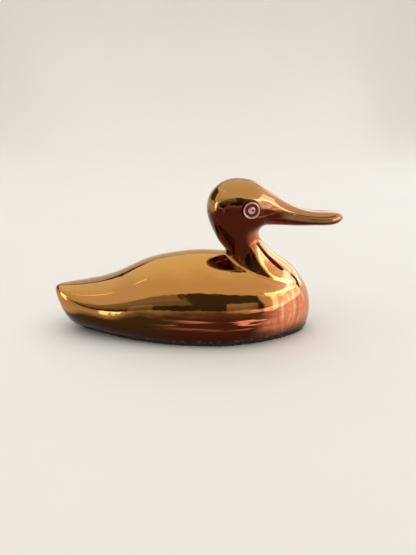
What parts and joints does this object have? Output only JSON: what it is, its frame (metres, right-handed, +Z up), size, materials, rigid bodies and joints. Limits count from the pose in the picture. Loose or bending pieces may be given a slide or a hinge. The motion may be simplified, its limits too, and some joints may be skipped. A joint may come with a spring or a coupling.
{
  "type": "duck ornament",
  "caption": "Swimming duck ornament in polished brass, with a hollow body casting, a separate head, ringed eyes and a felt-covered base to stand on a shelf.",
  "frame": {"origin": "on the surface that the duck stands on, below the middle of its overall box", "axes": "+X from the tail to the bill, +Y to the duck's left, +Z up"},
  "size_m": [0.14, 0.0568, 0.0752],
  "materials": {
    "brass": "mirror polish with light tarnish near the base",
    "eye_copper": "polished, copper-coloured",
    "steel": "plain machined",
    "board": "matt",
    "felt": "pressed felt"
  },
  "bodies": {
    "root": {"body_shell": "brass", "head_casting": "brass", "left_eye": "eye_copper", "right_eye": "eye_copper", "neck_stud": "steel", "neck_washer": "steel", "neck_nut": "steel", "base_board": "board", "felt_pad": "felt"}
  },
  "joints": []
}
